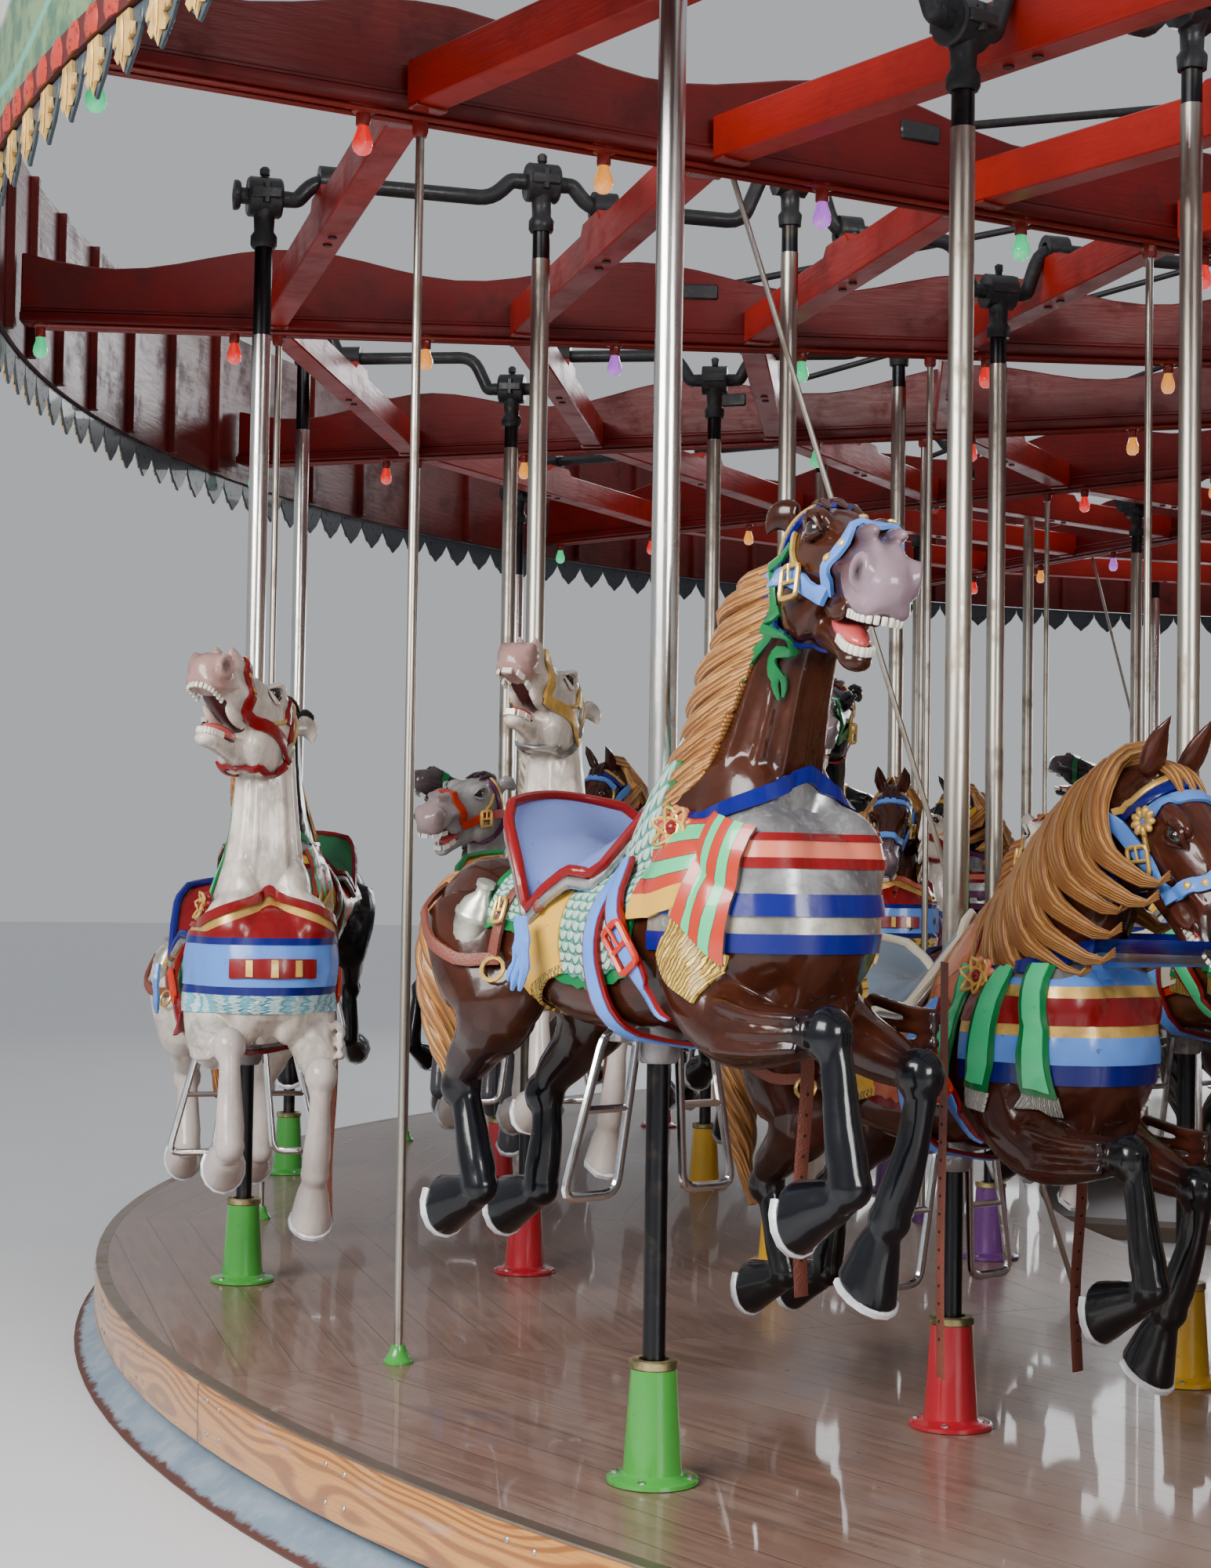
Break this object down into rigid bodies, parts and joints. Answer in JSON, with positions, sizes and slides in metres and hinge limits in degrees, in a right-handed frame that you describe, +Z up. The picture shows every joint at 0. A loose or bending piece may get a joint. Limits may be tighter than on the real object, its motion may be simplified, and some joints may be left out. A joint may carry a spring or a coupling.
{
  "type": "fairground carousel",
  "caption": "Park carousel: radial sweeps and a hung platform turn about a fixed mast, with rows of galloping horses on overhead cranks.",
  "frame": {"origin": "on the ground, on the axis of rotation, under the middle of the whole object", "axes": "+Z up; +X along sweep 1; rows and sweeps are numbered clockwise seen from above, and the horses face anticlockwise"},
  "size_m": [14.9678, 14.9678, 4.78],
  "materials": {
    "sill_timber": "rough",
    "kerb_paint": "satin",
    "dark_steel": "oiled",
    "housing_paint": "gloss",
    "sweep_paint": "painted gloss",
    "deck_wood": "varnished",
    "golden_oak": "varnished",
    "rim_paint": "painted gloss",
    "gilt_leaf": "painted satin",
    "horse_paint": "painted gloss",
    "tack_paint": "painted gloss",
    "gold_paint": "painted satin",
    "polished_steel": "polished",
    "pedestal_paint": "gloss",
    "brass": "worn",
    "lamp_glass": "glowing coloured",
    "strap_leather": "worn"
  },
  "bodies": {
    "ground_frame": {"base_sills": "sill_timber", "platform_kerb": "kerb_paint", "centre_mast": "dark_steel", "centre_housing": "housing_paint"},
    "turntable": {"hub_spider": "dark_steel", "sweep_01": "sweep_paint", "sweep_02": "sweep_paint", "sweep_03": "sweep_paint", "sweep_04": "sweep_paint", "sweep_05": "sweep_paint", "sweep_06": "sweep_paint", "sweep_07": "sweep_paint", "sweep_08": "sweep_paint", "sweep_09": "sweep_paint", "sweep_10": "sweep_paint", "sweep_11": "sweep_paint", "sweep_12": "sweep_paint", "sweep_13": "sweep_paint", "sweep_14": "sweep_paint", "sweep_15": "sweep_paint", "sweep_16": "sweep_paint", "deck_main": "deck_wood", "deck_bay_01": "deck_wood", "deck_bay_02": "deck_wood", "deck_fascia": "golden_oak", "rim_boards_1": "rim_paint", "rim_boards_2": "rim_paint", "rim_boards_3": "rim_paint", "rim_boards_4": "rim_paint", "rim_fringe_1": "gilt_leaf", "rim_fringe_2": "gilt_leaf", "rim_fringe_3": "gilt_leaf", "rim_fringe_4": "gilt_leaf", "horse_row_03": "horse_paint", "horse_row_04": "horse_paint", "horse_row_05": "horse_paint", "horse_row_06": "horse_paint", "horse_row_07": "horse_paint", "horse_row_08": "horse_paint", "horse_row_09": "horse_paint", "horse_row_10": "horse_paint", "horse_row_11": "horse_paint", "horse_row_12": "horse_paint", "horse_row_13": "horse_paint", "horse_row_14": "horse_paint", "horse_row_15": "horse_paint", "horse_row_16": "horse_paint"},
    "horse_01_1": {"horse_01_1": "horse_paint"},
    "horse_01_2": {"horse_01_2": "horse_paint"},
    "horse_01_3": {"horse_01_3": "horse_paint"},
    "horse_01_4": {"horse_01_4": "horse_paint"},
    "horse_02_1": {"horse_02_1": "horse_paint"},
    "horse_02_2": {"horse_02_2": "horse_paint"},
    "horse_02_3": {"horse_02_3": "horse_paint"},
    "horse_02_4": {"horse_02_4": "horse_paint"}
  },
  "joints": [
    {"name": "turntable_turn", "type": "hinge", "parent": "ground_frame", "child": "turntable", "pos_m": [0, 0, 0], "axis": [0, 0, 1], "continuous": true},
    {"name": "horse_01_1_rise", "type": "slide", "parent": "turntable", "child": "horse_01_1", "axis": [0, 0, 1], "range_m": [-0.3018, 0.0282]},
    {"name": "horse_01_2_rise", "type": "slide", "parent": "turntable", "child": "horse_01_2", "axis": [0, 0, 1], "range_m": [-0.0282, 0.3018]},
    {"name": "horse_01_3_rise", "type": "slide", "parent": "turntable", "child": "horse_01_3", "axis": [0, 0, 1], "range_m": [-0.2573, 0.0727]},
    {"name": "horse_01_4_rise", "type": "slide", "parent": "turntable", "child": "horse_01_4", "axis": [0, 0, 1], "range_m": [-0.0727, 0.2573]},
    {"name": "horse_02_1_rise", "type": "slide", "parent": "turntable", "child": "horse_02_1", "axis": [0, 0, 1], "range_m": [-0.1032, 0.2268]},
    {"name": "horse_02_2_rise", "type": "slide", "parent": "turntable", "child": "horse_02_2", "axis": [0, 0, 1], "range_m": [-0.2268, 0.1032]},
    {"name": "horse_02_3_rise", "type": "slide", "parent": "turntable", "child": "horse_02_3", "axis": [0, 0, 1], "range_m": [-0.318, 0.012]},
    {"name": "horse_02_4_rise", "type": "slide", "parent": "turntable", "child": "horse_02_4", "axis": [0, 0, 1], "range_m": [-0.012, 0.318]}
  ],
  "couplings": [
    {"joint": "horse_01_2_rise", "follows": "horse_01_1_rise", "ratio": -1},
    {"joint": "horse_01_4_rise", "follows": "horse_01_3_rise", "ratio": -1},
    {"joint": "horse_02_2_rise", "follows": "horse_02_1_rise", "ratio": -1},
    {"joint": "horse_02_4_rise", "follows": "horse_02_3_rise", "ratio": -1}
  ]
}
